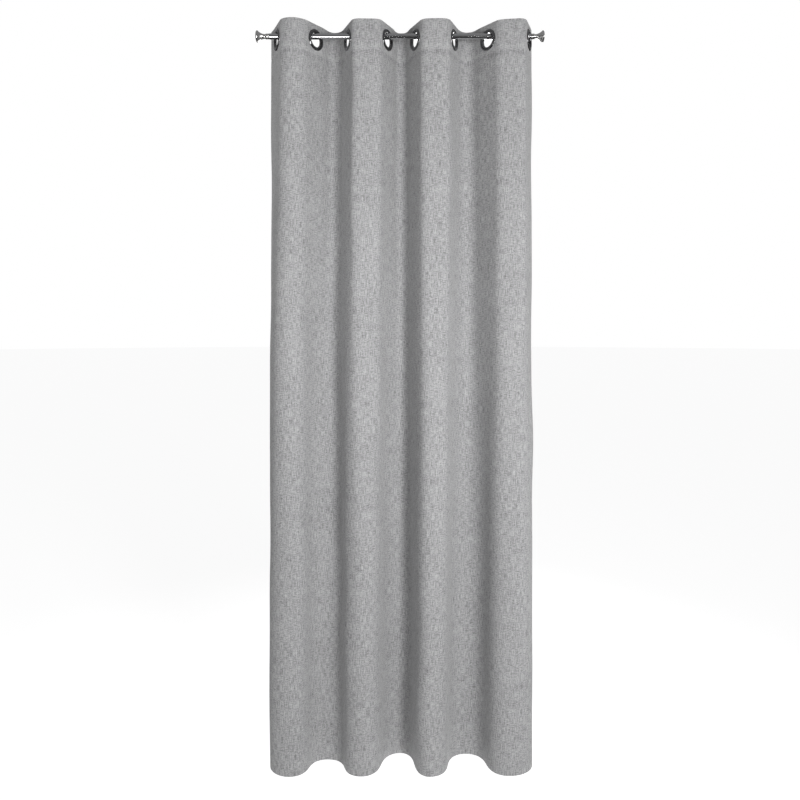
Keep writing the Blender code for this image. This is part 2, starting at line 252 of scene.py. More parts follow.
def hung_paths():
    """The cloth's path at every level, seen from above.

    A level's directions are the top's and the hem's, weighted by how far down it is. Its path is moved until
    its middle, and stretched until its left and right ends, lie evenly between those of the top and the hem.
    """
    top = run_out(top_angles)
    top += np.array([eyelet_x[0], 0.0]) - [np.interp(eyelet_s[0], across, top[:, axis]) for axis in (0, 1)]
    hem = run_out(hem_angles)
    hem += EDGE_PLACE[0]
    fallen = np.clip((down - SETTLE) / (DROP - SETTLE), 0, 1)[:, None]
    weight = EVEN_SHARE * fallen + (1 - EVEN_SHARE) * ease(fallen)
    paths = run_out(top_angles * (1 - weight) + hem_angles * weight)
    middle = top.mean(0) * (1 - weight) + hem.mean(0) * weight
    paths += (middle - paths.mean(1))[:, None, :]
    low = top.min(0)[0] * (1 - weight) + hem.min(0)[0] * weight
    high = top.max(0)[0] * (1 - weight) + hem.max(0)[0] * weight
    spread = paths[..., 0]
    least, most = spread.min(1)[:, None], spread.max(1)[:, None]
    paths[..., 0] = low + (spread - least) * (high - low) / (most - least)
    return paths


paths = hung_paths()
slopes = np.gradient(paths, across, axis=1)
slopes /= np.linalg.norm(slopes, axis=2)[..., None]
print("measuring grid", paths.shape, "x", paths[..., 0].min().round(3), paths[..., 0].max().round(3),
      "y", paths[..., 1].min().round(3), paths[..., 1].max().round(3))

# %% [markdown]
# ## Small waves in the cloth
#
# Cloth that has been folded, steamed and hung is never quite smooth. A few dozen long shallow waves,
# steeper across than down, are added along the cloth's back. Along the stitched lines the thread pulls
# the layers together, which makes a shallow groove with puckers beside it.

# %% Waves and puckers
dice = np.random.default_rng(11)
WAVES = 26
wave_across = dice.normal(0, 32, WAVES)  # radians a metre across the cloth
wave_down = dice.normal(0, 14, WAVES)  # and down it
wave_shift = dice.uniform(0, 2 * np.pi, WAVES)
wave_height = 0.00154 / np.sqrt(WAVES) / (0.4 + np.hypot(wave_across, wave_down) / 40)
WAVES_START, WAVES_GROW = 0.09, 0.10  # no waves down to the first, and their whole height the second further
GROOVE_WIDTH, GROOVE_DEPTH = 0.0025, 0.0003
PUCKER_WIDTH, PUCKER_HEIGHT, PUCKER_PITCH = 0.012, 0.00022, 0.013
SEAM_INSET = 0.0025  # stitches from the edge of the turned cloth
seams_down = (HEADER - SEAM_INSET, DROP - HEM + SEAM_INSET)
SIDE_HEM = 0.03


def small_waves(s, v):
    """Height of the cloth over its smooth path: a sum of sines, faded out at the eyelets."""
    height = sum(
        high * np.sin(a * s + d * v + shift)
        for a, d, shift, high in zip(wave_across, wave_down, wave_shift, wave_height)
    )
    return height * ease((v - WAVES_START) / WAVES_GROW)


def puckers(s, v):
    """Groove of a stitched line, with puckers beside it.

    Both fade with a bell curve away from the line. The puckers are a sine along it whose pitch wanders.
    """
    ripple = np.sin(2 * np.pi * s / PUCKER_PITCH + 3 * np.sin(s * 41))
    height = 0 * s
    for seam in seams_down:
        near = np.exp(-(((v - seam) / GROOVE_WIDTH) ** 2))
        beside = np.exp(-(((v - seam) / PUCKER_WIDTH) ** 2))
        height = height + GROOVE_DEPTH * near + PUCKER_HEIGHT * beside * ripple
    return height


def on_cloth(s, v, behind):
    """Places in the room: s across from the left edge, v below the top, and so far behind the cloth's middle.

    The grid's paths are read between their points and levels, and the place is moved along the cloth's back,
    which is the path's direction turned a quarter to the left.
    """
    s, v, behind = np.broadcast_arrays(s, v, behind)
    column = np.clip(s / WIDTH * (LINES - 1), 0, LINES - 1.001)
    row = np.clip(v / DROP * (LEVELS - 1), 0, LEVELS - 1.001)
    left, above = column.astype(int), row.astype(int)
    over, under = (column - left)[..., None], (row - above)[..., None]

    def read(grid):
        """The grid's values at these places: a mix of the four nearest."""
        upper = grid[above, left] * (1 - over) + grid[above, left + 1] * over
        lower = grid[above + 1, left] * (1 - over) + grid[above + 1, left + 1] * over
        return upper * (1 - under) + lower * under

    place, slope = read(paths), read(slopes)
    slope = slope / np.linalg.norm(slope, axis=-1)[..., None]
    back = behind + small_waves(s, v) + puckers(s, v)
    x = place[..., 0] - slope[..., 1] * back
    y = place[..., 1] + slope[..., 0] * back
    return np.stack([x, y, TOP_Z - v + 0 * x], -1)


print("waves up to", np.abs(small_waves(across, 1.2 + 0 * across)).max().round(5), "m")

# %% [markdown]
# ## Meshes from grids
#
# A grid of places becomes a mesh with one call: the faces join each place to its neighbours, and a flat
# UV map in metres remembers where every place is on the flat cloth, so that the weave follows each fold.
# Faces inside an eyelet's hole are left out.

# %% A grid becomes a mesh
HOLE_R = 0.0295  # under the eyelet's rim, which hides the cut


def grid_mesh(name, places, flat, keep=None, wrap=False):
    """A mesh with one vertex for each place of a grid, given as (rows, columns, 3).

    The UVs, in metres, come from flat, the grid's places on the flat cloth. Only the faces of keep are made,
    and wrap joins the last column to the first.
    """
    rows, columns = places.shape[:2]
    index = np.arange(rows * columns).reshape(rows, columns)
    if wrap:
        index = np.concatenate([index, index[:, :1]], 1)
    faces = np.stack([index[1:, :-1], index[1:, 1:], index[:-1, 1:], index[:-1, :-1]], -1)
    faces = faces.reshape(-1, 4) if keep is None else faces[keep]
    mesh = bpy.data.meshes.new(name)
    mesh.from_pydata(places.reshape(-1, 3), [], faces.tolist())
    if flat is not None:
        corner = np.empty(len(mesh.loops), np.int32)
        mesh.loops.foreach_get("vertex_index", corner)
        layer = mesh.uv_layers.new(name="cloth")
        layer.data.foreach_set("uv", flat.reshape(-1, 2)[corner].astype(np.float32).ravel())
    mesh.shade_smooth()
    return mesh


def add_piece(name, mesh, material):
    """An object for a mesh, at the origin, with its finish."""
    piece = bpy.data.objects.new(name, mesh)
    bpy.context.scene.collection.objects.link(piece)
    mesh.materials.append(material)
    return piece


def thicken(piece, thickness):
    """A wall on both sides of an open mesh, with closed rims.

    The rims' edges are sharp, so that two neighbours meet without a crease in their shading.
    """
    mesh = piece.data
    loop_edges = np.empty(len(mesh.loops), np.int32)
    mesh.loops.foreach_get("edge_index", loop_edges)
    rim = np.bincount(loop_edges, minlength=len(mesh.edges)) == 1
    mesh.attributes.new("sharp_edge", "BOOLEAN", "EDGE").data.foreach_set("value", rim)
    wall = piece.modifiers.new("wall", "SOLIDIFY")
    wall.thickness = thickness
    wall.offset = 0.0


print("holes of", 2 * HOLE_R, "m under rims of", round(2 * RING_R, 4), "m")

# %% [markdown]
# ## Finishes
#
# A finish is a network of nodes around one Principled shader. Written socket by socket it would fill
# pages, so a small class holds one output socket and turns sums, differences and products into Math
# nodes. Then a weave or a scratch can be written as the formula that it is. A second class adds every
# other node, and a third is the finish itself.

# %% A socket that can be written in formulas
class Wire:
    """One output socket. Arithmetic on it adds the Math nodes that work it out."""

    def __init__(self, network, socket):
        self.network, self.socket = network, socket

    def math(self, operation, *others):
        """A Math node of this wire and any others, in their order."""
        return self.network.node("Math", {"operation": operation}, dict(enumerate([self, *others])))

    def __add__(self, other):
        return self.math("ADD", other)

    def __mul__(self, other):
        return self.math("MULTIPLY", other)

    def __sub__(self, other):
        return self.math("SUBTRACT", other)

    def __rsub__(self, other):
        return self.network.node("Math", {"operation": "SUBTRACT"}, {0: other, 1: self})

    def __abs__(self):
        return self.math("ABSOLUTE")

    __radd__ = __add__
    __rmul__ = __mul__

    def sine(self):
        """The sine of an angle in radians."""
        return self.math("SINE")

    def between(self, low, high):
        """0 below low, 1 above high, and a smooth step in between."""
        limits = {"Value": self, "From Min": low, "From Max": high}
        return self.network.node("MapRange", {"interpolation_type": "SMOOTHSTEP"}, limits)


class Network:
    """The nodes of a material or of the sky, with one method that adds any of them."""

    def __init__(self, tree):
        self.tree = tree

    def set(self, node, sockets):
        """Gives a node's sockets their values, or links wires to them."""
        for key, value in sockets.items():
            if isinstance(value, Wire):
                self.tree.links.new(value.socket, node.inputs[key])
            else:
                node.inputs[key].default_value = value

    def node(self, kind, settings, sockets, output=0):
        """A node of a kind: first its settings, such as a ramp's stops, then its sockets' values or wires."""
        made = self.tree.nodes.new("ShaderNode" + kind)
        for key, value in settings.items():
            if key == "stops":
                for stop, (place, colour) in zip(made.color_ramp.elements, value):
                    stop.position, stop.color = place, colour
            else:
                setattr(made, key, value)
        self.set(made, sockets)
        return Wire(self, made.outputs[output])

    def part(self, vector, axis):
        """One of a vector's three numbers."""
        return self.node("SeparateXYZ", {}, {0: vector}, axis)

    def stretch(self, vector, amounts):
        """A vector times three amounts, so that a pattern on it is finer where an amount is larger."""
        return self.node("VectorMath", {"operation": "MULTIPLY"}, {0: vector, 1: amounts})

    def noise(self, vector, scale, detail=2.0):
        """A noise about 0.5, which repeats about scale times a metre."""
        return self.node("TexNoise", {}, {"Vector": vector, "Scale": scale, "Detail": detail})

    def mix(self, factor, first, second):
        """A colour between two colours: the Mix node's sockets 6, 7 and 2 are its colours."""
        return self.node("Mix", {"data_type": "RGBA"}, {0: factor, 6: first, 7: second}, 2)


class Finish(Network):
    """A material whose nodes feed one Principled shader; what is steady is set on the shader itself."""

    def __init__(self, name, **steady):
        self.material = bpy.data.materials.new(name)
        self.material.use_nodes = True
        super().__init__(self.material.node_tree)
        self.shader = self.tree.nodes["Principled BSDF"]
        for socket, value in steady.items():
            self.shader.inputs[socket.replace("_", " ")].default_value = value

    def bump(self, height, distance, strength=1.0):
        """Small heights, in shares of a distance, that tilt the surface for the light."""
        normal = self.node("Bump", {}, {"Height": height, "Distance": distance, "Strength": strength})
        self.set(self.shader, {"Normal": normal})


print("finishes are written as formulas")

# %% [markdown]
# ## The cloth's finish
#
# The cloth is a plain weave of a grey melange yarn that looks like linen. Up close it shows single
# threads, over and under in turn. From further off the threads melt together, and what is left are slubs:
# short thick places in the yarn, which make dark and light dashes across and streaks down. Noises
# stretched along the yarns give those, on the cloth's flat map, so they bend with the folds. The threads'
# height feeds a bump.

# %% Woven melange
WARP_PITCH = 0.00062  # from thread to thread across
WEFT_PITCH = 0.00074  # and down
SEAM_RUN = HEADER + seams_down[0]  # the map starts at the turned edge, a header's depth before the top
# Painted light beside the header's stitched line: a painted highlight above it and a painted shade below it.
PAINTED_HIGHLIGHT_BAND = (-0.009, 0.012)  # how far its middle lies below the header's stitches, and half its width
PAINTED_SHADE_BAND = (0.010, 0.013)


def woven_cloth(name, dark, light):
    """Dark and light yarn, mixed by slubs, streaks and flecks, with the threads as a bump.

    A thread's height is the size of a sine across it, and the product of the two sines says which thread lies
    over the other. A painted highlight lies just above the header's stitched line and a painted shade just
    below it, for the light and shade of the seam's relief.
    """
    finish = Finish(name, Sheen_Weight=0.35, Sheen_Roughness=0.45, Specular_IOR_Level=0.25)
    flat = finish.node("UVMap", {"uv_map": "cloth"}, {})
    u, v = finish.part(flat, 0), finish.part(flat, 1)
    warp = (u * (math.pi / WARP_PITCH)).sine()
    weft = (v * (math.pi / WEFT_PITCH)).sine()
    over = (warp * weft * 4 + 0.5).between(0, 1)
    threads = abs(warp) * over + abs(weft) * (1 - over)
    slubs = finish.noise(finish.stretch(flat, (70.0, 580.0, 1.0)), 1.0, 2.0)
    streaks = finish.noise(finish.stretch(flat, (580.0, 36.0, 1.0)), 1.0, 2.0)
    flecks = finish.noise(finish.stretch(flat, (420.0, 330.0, 1.0)), 1.0, 3.0)
    clouds = finish.noise(finish.stretch(flat, (14.0, 9.0, 1.0)), 1.0, 3.0)
    dashes = finish.noise(finish.stretch(flat, (48.0, 330.0, 1.0)), 1.0, 1.0).between(0.60, 0.74)
    # pale is the painted highlight above the header's seam, grey the painted shade below it.
    bands = [(1 - abs(-SEAM_RUN - middle - v) * (1 / half)) for middle, half in (PAINTED_HIGHLIGHT_BAND, PAINTED_SHADE_BAND)]
    pale, grey = (band.between(0, 1) for band in bands)
    tone = (
        0.52 + (slubs - 0.5) * 1.3 + (streaks - 0.5) * 1.5 + (flecks - 0.5) * 1.2 + (clouds - 0.5) * 0.2
        - dashes * 0.25 + (threads - 0.5) * 0.16 + (pale - grey) * 0.09
    )
    finish.set(finish.shader, {
        "Base Color": finish.mix(tone.between(0.0, 1.0), dark, light),
        "Roughness": 0.82 + tone * 0.12,
    })
    finish.bump(threads * 0.6 + slubs * 0.5 + flecks * 0.3, 0.00035, 0.6)
    return finish.material


CLOTH_FINISH = woven_cloth("grey melange weave", (0.155, 0.155, 0.158, 1), (0.45, 0.45, 0.454, 1))
print("cloth finish with", len(CLOTH_FINISH.node_tree.nodes), "nodes")

# %% [markdown]
# ## Thread and tape
#
# The thread is twisted, so a wave that runs aslant stands for its ridges. It isn't woven and needs no
# flat map: its pattern reads the object's own coordinates. The tape is pressed from short fibres with no
# direction, so one noise on the flat map gives both its flecks and its grain.

# %% Sewing thread and header tape
def sewing_thread():
    """Twisted polyester thread: fine slanting ridges on a grey clearly lighter than the cloth."""
    finish = Finish("sewing thread", Sheen_Weight=0.2, Specular_IOR_Level=0.4)
    place = finish.node("TexCoord", {}, {}, "Object")
    turns = {"Vector": place, "Scale": 900.0, "Distortion": 1.0}
    twist = finish.node("TexWave", {"bands_direction": "DIAGONAL"}, turns)
    finish.set(finish.shader, {
        "Base Color": finish.mix(twist, (0.42, 0.42, 0.425, 1), (0.62, 0.62, 0.625, 1)),
        "Roughness": 0.5 + twist * 0.15,
    })
    return finish.material


def fused_tape():
    """White tape of pressed fibres: fine flecks and a shallow grain."""
    finish = Finish("header tape", Specular_IOR_Level=0.3)
    flat = finish.node("UVMap", {"uv_map": "cloth"}, {})
    fibres = finish.noise(finish.stretch(flat, (500.0, 900.0, 1.0)), 1.0, 4.0)
    finish.set(finish.shader, {
        "Base Color": finish.mix(fibres, (0.62, 0.62, 0.60, 1), (0.86, 0.86, 0.84, 1)),
        "Roughness": 0.75 + fibres * 0.2,
    })
    finish.bump(fibres, 0.0002, 0.5)
    return finish.material


THREAD_FINISH, TAPE_FINISH = sewing_thread(), fused_tape()
print("made", THREAD_FINISH.name, "and", TAPE_FINISH.name)

# %% [markdown]
# ## Metal finishes
#
# The rod is chromed, its finials have a duller nickel, and the eyelets have a darker chrome. Such metal is
# nearly all reflection, so it lives from what differs in it: hairline scratches from hanging and drawing
# the curtain, faint smears that change how sharp the reflection is, and small dark specks. The plugs in
# the rod's ends are plastic with a mould's grain. All read the object's own coordinates.

# %% Chrome and nickel
def chrome(name, dark, light, rough, scratch_along):
    """Metal whose roughness is smeared by a soft noise and whose scratches run along the given stretch."""
    finish = Finish(name, Metallic=1.0)
    place = finish.node("TexCoord", {}, {}, "Object")
    smears = finish.noise(place, 38.0, 3.0)
    scratches = finish.noise(finish.stretch(place, scratch_along), 1.0, 2.0).between(0.60, 0.72)
    specks = finish.noise(place, 900.0, 1.0).between(0.70, 0.80)
    finish.set(finish.shader, {
        "Base Color": finish.mix(1 - specks * 0.5 - smears * 0.25, dark, light),
        "Roughness": rough + smears * 0.10 + scratches * 0.10,
    })
    finish.bump(scratches * 0.6 + specks * 0.4, 0.00004, 0.5)
    return finish.material


ROD_FINISH = chrome(
    "bright chrome", (0.36, 0.36, 0.37, 1), (0.72, 0.72, 0.73, 1), 0.06, (12.0, 2600.0, 2600.0)
)
EYELET_FINISH = chrome(
    "dark chrome", (0.08, 0.08, 0.084, 1), (0.27, 0.27, 0.275, 1), 0.08, (900.0, 900.0, 900.0)
)
FINIAL_FINISH = chrome(
    "worn nickel", (0.42, 0.42, 0.42, 1), (0.86, 0.855, 0.84, 1), 0.17, (1400.0, 300.0, 300.0)
)
print("metals:", ROD_FINISH.name, EYELET_FINISH.name, FINIAL_FINISH.name)

# %% The plugs' plastic
def moulded_plastic():
    """Dark plastic with the fine grain of a mould."""
    finish = Finish("moulded plastic", Specular_IOR_Level=0.45)
    grain = finish.noise(finish.node("TexCoord", {}, {}, "Object"), 1500.0, 2.0)
    finish.set(finish.shader, {
        "Base Color": finish.mix(grain, (0.05, 0.05, 0.052, 1), (0.10, 0.10, 0.102, 1)),
        "Roughness": 0.45 + grain * 0.15,
    })
    finish.bump(grain, 0.0001, 0.4)
    return finish.material


PLUG_FINISH = moulded_plastic()
print("made", PLUG_FINISH.name)

# %% [markdown]
# ## The curtain, fold by fold
#
# The panel is one cloth, but the eyelets move one by one when it is drawn. It is made here in seven
# pieces that meet along upright lines through the eyelets, one between each two neighbouring eyelets.
# Both pieces at a line have the same places on it, so no gap opens.
#
# A hem isn't a slab stuck to the back: the cloth turns over its own edge. So a piece's grid starts behind
# the header, climbs over the top edge, runs down the front, and turns up again behind the hem, all in one
# surface.

# %% The cloth's path over its top and bottom edges
CLOTH = 0.0008  # how thick the cloth is
LAYER = 0.0019  # middle of the header's back layer, behind the face's middle
HEM_LAYER = 0.0011  # and of the hems'
SEAM_OFFSETS = np.array([-0.012, -0.008, -0.005, -0.003, -0.0015, 0, 0.0015, 0.003, 0.005, 0.008, 0.012])


def edge_turn(radius, top):
    """Half circle over an edge, as (below the top, behind).

    It goes from back to front over the top, and from front to back under the hem.
    """
    turn = np.linspace(0, math.pi, 9)
    if top:
        return radius + CLOTH / 2 - radius * np.sin(turn), radius + radius * np.cos(turn)
    return DROP - radius - CLOTH / 2 + radius * np.sin(turn), radius - radius * np.cos(turn)


def over_and_under():
    """Rows of a piece: how far below the top and how far behind, and the run along the cloth.

    Rows are close together on both sides of a stitched line, for its groove and puckers, and else wide apart.
    """
    top_seam, low_seam = seams_down[0] + SEAM_OFFSETS, seams_down[1] + SEAM_OFFSETS
    header = np.linspace(0.0045, seams_down[0] - 0.016, 18)
    body = np.linspace(seams_down[0] + 0.022, seams_down[1] - 0.022, 170)
    lower = np.linspace(seams_down[1] + 0.018, DROP - 0.006, 8)
    top_below, top_behind = edge_turn(LAYER / 2, True)
    low_below, low_behind = edge_turn(HEM_LAYER / 2, False)
    back_header = np.concatenate([[HEADER], top_seam[5:0:-1], header[::-1]])
    front = np.concatenate([header, top_seam, body, low_seam, lower])
    back_hem = np.concatenate([lower[::-1], low_seam[8:4:-1], [DROP - HEM]])
    below = np.concatenate([back_header, top_below, front, low_below, back_hem])
    behind = np.concatenate([
        np.full(len(back_header), LAYER), top_behind, np.zeros(len(front)), low_behind,
        np.full(len(back_hem), HEM_LAYER),
    ])
    run = np.concatenate([[0], np.cumsum(np.hypot(np.diff(below), np.diff(behind)))])
    return below, behind, run


below, behind, cloth_run = over_and_under()
print(len(below), "rows over", cloth_run[-1].round(3), "m of cloth")

# %% The seven folds
BEND_COLUMNS = 30
EDGE_WRAP = 0.0006  # the side hem wraps this much of the face


def fold_columns(fold):
    """Flat places across one fold: close together near the eyelets, with the margin on an outer fold."""
    start, end = eyelet_s[fold], eyelet_s[fold + 1]
    flats = np.linspace(0, RING_R, 9)
    bend = np.linspace(start + RING_R, end - RING_R, BEND_COLUMNS)[1:-1]
    parts = [start + flats, bend, end - flats[::-1]]
    if fold == 0:
        parts.insert(0, np.linspace(EDGE_WRAP, start, 20)[:-1])
    if fold == EYELETS - 2:
        parts.append(np.linspace(end, WIDTH - EDGE_WRAP, 20)[1:])
    return np.concatenate(parts)


def outside_holes(s, v):
    """Which faces of a grid lie outside the eyelets' holes, by the places of their centres."""
    centre_s = (s[1:, 1:] + s[:-1, :-1]) / 2
    centre_v = (v[1:, 1:] + v[:-1, :-1]) / 2
    below_hole = centre_v - (TOP_Z - EYELET_Z)
    return np.min([np.hypot(centre_s - hole, below_hole) for hole in eyelet_s], axis=0) > HOLE_R


def follow_fold(piece):
    """Bakes the piece's place into its mesh; the piece isn't attached to the strips of the fold's eyelets."""
    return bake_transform(piece)


def add_fold(fold):
    """One fold's cloth: a grid over and under, with a wall's thickness, open where the eyelets go."""
    columns = fold_columns(fold)
    s, v = np.meshgrid(columns, below)
    places = on_cloth(s, v, behind[:, None])
    flat = np.stack(np.broadcast_arrays(s, -cloth_run[:, None]), -1)
    mesh = grid_mesh(f"curtain_fold_{fold + 1}", places, flat, outside_holes(s, v))
    piece = add_piece(mesh.name, mesh, CLOTH_FINISH)
    thicken(piece, CLOTH)
    return piece


folds = [add_fold(fold) for fold in range(EYELETS - 1)]
print("folds of", [len(piece.data.polygons) for piece in folds], "faces")

# %% [markdown]
# ## Tape and side hems
#
# A stiff white tape lies between the two layers of the header and keeps it upright. It shows only inside
# the fold of the top edge. The two free sides are turned to the back and stitched, and since these narrow
# hems follow the first and last eyelets, each rides on one strip.

# %% Header tape
TAPE_LAYER = 0.00095  # middle of the tape, behind the face's middle
TAPE = 0.0005


def add_tape(fold):
    """A flat strip inside the header, a little shorter than it, with the eyelets' holes."""
    s, v = np.meshgrid(fold_columns(fold), np.linspace(0.004, HEADER - 0.003, 24))
    flat = np.stack([s, -v], -1)
    mesh = grid_mesh(f"tape_{fold + 1}", on_cloth(s, v, TAPE_LAYER), flat, outside_holes(s, v))
    piece = add_piece(mesh.name, mesh, TAPE_FINISH)
    thicken(piece, TAPE)
    return piece


tapes = [add_tape(fold) for fold in range(EYELETS - 1)]
print(len(tapes), "pieces of tape")

# %% Side hems
def add_side_hem(name, side):
    """The turned side edge: a strip behind the cloth whose outer edge wraps round to the face.

    Its section is a half circle round the edge and then a straight run behind, between header and hem.
    """
    turn = np.linspace(0, math.pi, 9)
    radius = HEM_LAYER / 2
    inward = np.concatenate([radius - radius * np.sin(turn), np.linspace(radius, SIDE_HEM, 10)[1:]])
    back = np.concatenate([radius - radius * np.cos(turn), np.full(9, HEM_LAYER)])
    rows = np.linspace(HEADER + 0.0005, DROP - HEM - 0.0005, 200)
    s, v = np.meshgrid(inward, rows)
    if side > 0:
        s, back = WIDTH - s[:, ::-1], back[::-1]
    flat = np.stack([s, -v], -1)
    mesh = grid_mesh(name, on_cloth(s, v, back[None, :]), flat)
    piece = add_piece(name, mesh, CLOTH_FINISH)
    thicken(piece, CLOTH)
    return piece


side_hems = [add_side_hem("side_seam_left", -1), add_side_hem("side_seam_right", 1)]
print("side hems of", len(side_hems[0].data.polygons), "faces")

# %% [markdown]
# ## Stitches
#
# A lockstitch shows as a row of short dashes with a tiny gap between, pulled a little into the cloth.
# Each is a small pod, round in section and pointed at both ends, half sunk in the cloth. One pod has only
# 26 faces, because there are thousands.

# %% A row of pods
STITCH = 0.0034
STITCH_GAP = 0.0008
THREAD_R = 0.00028
POD_RINGS, POD_SIDES = 5, 6
POD_FACES = (POD_RINGS - 1) * POD_SIDES + 2


def pods(s, v, along, surface):
    """Pods on the flat places (s, v), each STITCH long in the flat direction along, as deep as the surface.

    A pod's section is a circle whose radius swells and shrinks from end to end as a power of a cosine.
    """
    ends = np.linspace(-1, 1, POD_RINGS)
    swell = np.maximum(np.cos(ends * math.pi / 2) ** 0.6, 0.05) * THREAD_R
    round_turn = np.arange(POD_SIDES) / POD_SIDES * 2 * math.pi
    length = ends[:, None] * STITCH / 2 + 0 * round_turn
    side = swell[:, None] * np.cos(round_turn)
    rise = swell[:, None] * np.sin(round_turn)
    pod_s = s[:, None, None] + along[0] * length + along[1] * side
    pod_v = v[:, None, None] + along[1] * length + along[0] * side
    return on_cloth(pod_s, pod_v, surface + rise)


def pod_mesh(name, places):
    """One mesh of many pods, given as (pods, rings, places of a ring, 3), with closed ends."""
    count, rings, turns = places.shape[:3]
    index = np.arange(rings * turns).reshape(rings, turns)
    loop = np.concatenate([index, index[:, :1]], 1)
    quads = np.stack([loop[:-1, :-1], loop[:-1, 1:], loop[1:, 1:], loop[1:, :-1]], -1).reshape(-1, 4)
    offsets = (np.arange(count) * rings * turns)[:, None, None]
    body = (quads + offsets).reshape(-1, 4).tolist()
    caps = [index[0, ::-1], index[-1]]
    ends = [row.tolist() for cap in caps for row in cap + offsets[:, 0]]
    mesh = bpy.data.meshes.new(name)
    mesh.from_pydata(places.reshape(-1, 3), [], body + ends)
    mesh.shade_smooth()
    return mesh


def turn_outwards(mesh, weld=False):
    """Faces of closed forms turned to face outwards, after any doubled places are welded and holes filled."""
    form = bmesh.new()
    form.from_mesh(mesh)
    if weld:
        bmesh.ops.remove_doubles(form, verts=form.verts, dist=1e-6)
        bmesh.ops.holes_fill(form, edges=[edge for edge in form.edges if edge.is_boundary])
    bmesh.ops.recalc_face_normals(form, faces=form.faces)
    form.to_mesh(mesh)
    form.free()


def stitch_row(start, end):
    """Middles of the stitches between two flat places on a seam."""
    count = int((end - start) / (STITCH + STITCH_GAP))
    return start + (np.arange(count) + 0.5) * (end - start) / count


def add_seam_stitches(fold):
    """The header's and the hem's stitches of one fold, on the face and on the back."""
    columns = fold_columns(fold)
    s = stitch_row(columns[0] + 0.002, columns[-1] - 0.001)
    layers = [(seams_down[0], -CLOTH / 2), (seams_down[0], LAYER + CLOTH / 2)]
    layers += [(seams_down[1], -CLOTH / 2), (seams_down[1], HEM_LAYER + CLOTH / 2)]
    places = np.concatenate([pods(s, v + 0 * s, (1, 0), surface) for v, surface in layers])
    mesh = pod_mesh(f"stitches_{fold + 1}", places)
    turn_outwards(mesh)
    return add_piece(mesh.name, mesh, THREAD_FINISH)


def add_side_stitches(name, side):
    """The upright stitches of one side hem, on the face and on the back."""
    v = stitch_row(HEADER + 0.004, DROP - HEM - 0.004)
    s = (SIDE_HEM - SEAM_INSET if side < 0 else WIDTH - SIDE_HEM + SEAM_INSET) + 0 * v
    layers = (-CLOTH / 2, HEM_LAYER + CLOTH / 2)
    places = np.concatenate([pods(s, v, (0, 1), surface) for surface in layers])
    mesh = pod_mesh(name, places)
    turn_outwards(mesh)
    return add_piece(name, mesh, THREAD_FINISH)


stitches = [add_seam_stitches(fold) for fold in range(EYELETS - 1)]
side_stitches = [add_side_stitches("side_stitches_left", -1), add_side_stitches("side_stitches_right", 1)]
print("stitches:", sum(len(piece.data.polygons) for piece in stitches + side_stitches) // POD_FACES)

# %% [markdown]
# ## Eyelets
#
# An eyelet is two pressed rings. The front one has a crowned rim and a collar that goes through the
# cloth; the back one is a flatter washer that snaps over the collar. Each is a profile turned about the
# eyelet's axis. The profiles are drawn as (radius, height), where height is along the axis, out of the
# front of the cloth.

# %% Turned shapes
ROUND = 96
SHARP_ANGLE = math.radians(35)


def turned(name, profile, material, centre, axis, up, closed):
    """A profile of (radius, height) turned about an axis: each point becomes a circle of ROUND places.

    A closed profile, such as a ring's, joins its last point to its first.
    """
    axis, up = np.array(axis, float), np.array(up, float)
    aside = np.cross(axis, up)
    turn = np.arange(ROUND) / ROUND * 2 * np.pi
    spokes = np.cos(turn)[:, None] * up + np.sin(turn)[:, None] * aside
    profile = np.array(profile)
    if closed:
        profile = np.concatenate([profile, profile[:1]])
    places = np.array(centre) + profile[:, None, :1] * spokes + profile[:, None, 1:] * axis
    mesh = grid_mesh(name, places, None, wrap=True)
    turn_outwards(mesh, weld=True)
    mesh.shade_smooth()
    mesh.set_sharp_from_angle(angle=SHARP_ANGLE)
    return add_piece(name, mesh, material)


def arc(centre, radius, start, end, steps):
    """Points of an arc in the profile's plane, by angles in degrees; radius may be (across, along)."""
    wide, tall = np.broadcast_to(radius, 2)
    turn = np.radians(np.linspace(start, end, steps))
    return np.stack([centre[0] + wide * np.cos(turn), centre[1] + tall * np.sin(turn)], 1)


BORE_R = 0.023
SHEET_METAL = 0.0014
CROWN = 0.0036  # height of the front rim
BACK = 0.0022  # and of the back one
SEAT = 0.0003  # gap between pieces that are pressed together
BACK_SEAT = LAYER + CLOTH / 2 + SEAT
COLLAR_R = BORE_R + SHEET_METAL


def front_ring_profile():
    """A crowned rim, rolled under at its outer edge, that turns into the bore and down the collar.

    The crown is half an ellipse from the outer edge to the bore, on a short upright edge.
    """
    seat = CLOTH / 2 + SEAT
    middle, half = (RING_R + BORE_R) / 2, (RING_R - BORE_R) / 2
    upright = SHEET_METAL / 2
    crown = arc((middle, seat + upright), (half, CROWN - upright), 0, 180, 22)
    lip = arc((BORE_R + upright, upright - BACK_SEAT - BACK), upright, 180, 360, 9)
    under = [(COLLAR_R, seat), (RING_R - 0.0004, seat), (RING_R, seat + 0.0003)]
    return np.concatenate([crown, lip, under])


def back_ring_profile():
    """A washer with a rounded outer edge and a shallow groove turned in its face."""
    inner = COLLAR_R + SEAT
    face = -(BACK_SEAT + BACK)
    outer_r, inner_r = BACK / 2, 0.0008
    outer = arc((RING_R - outer_r, -BACK_SEAT - outer_r), outer_r, 90, -90, 9)
    groove = arc(((RING_R + inner) / 2, face), (0.0012, 0.0005), 0, 180, 9)
    inner_edge = arc((inner + inner_r, face + inner_r), inner_r, 270, 180, 6)
    return np.concatenate([[(inner, -BACK_SEAT)], outer, groove, inner_edge])


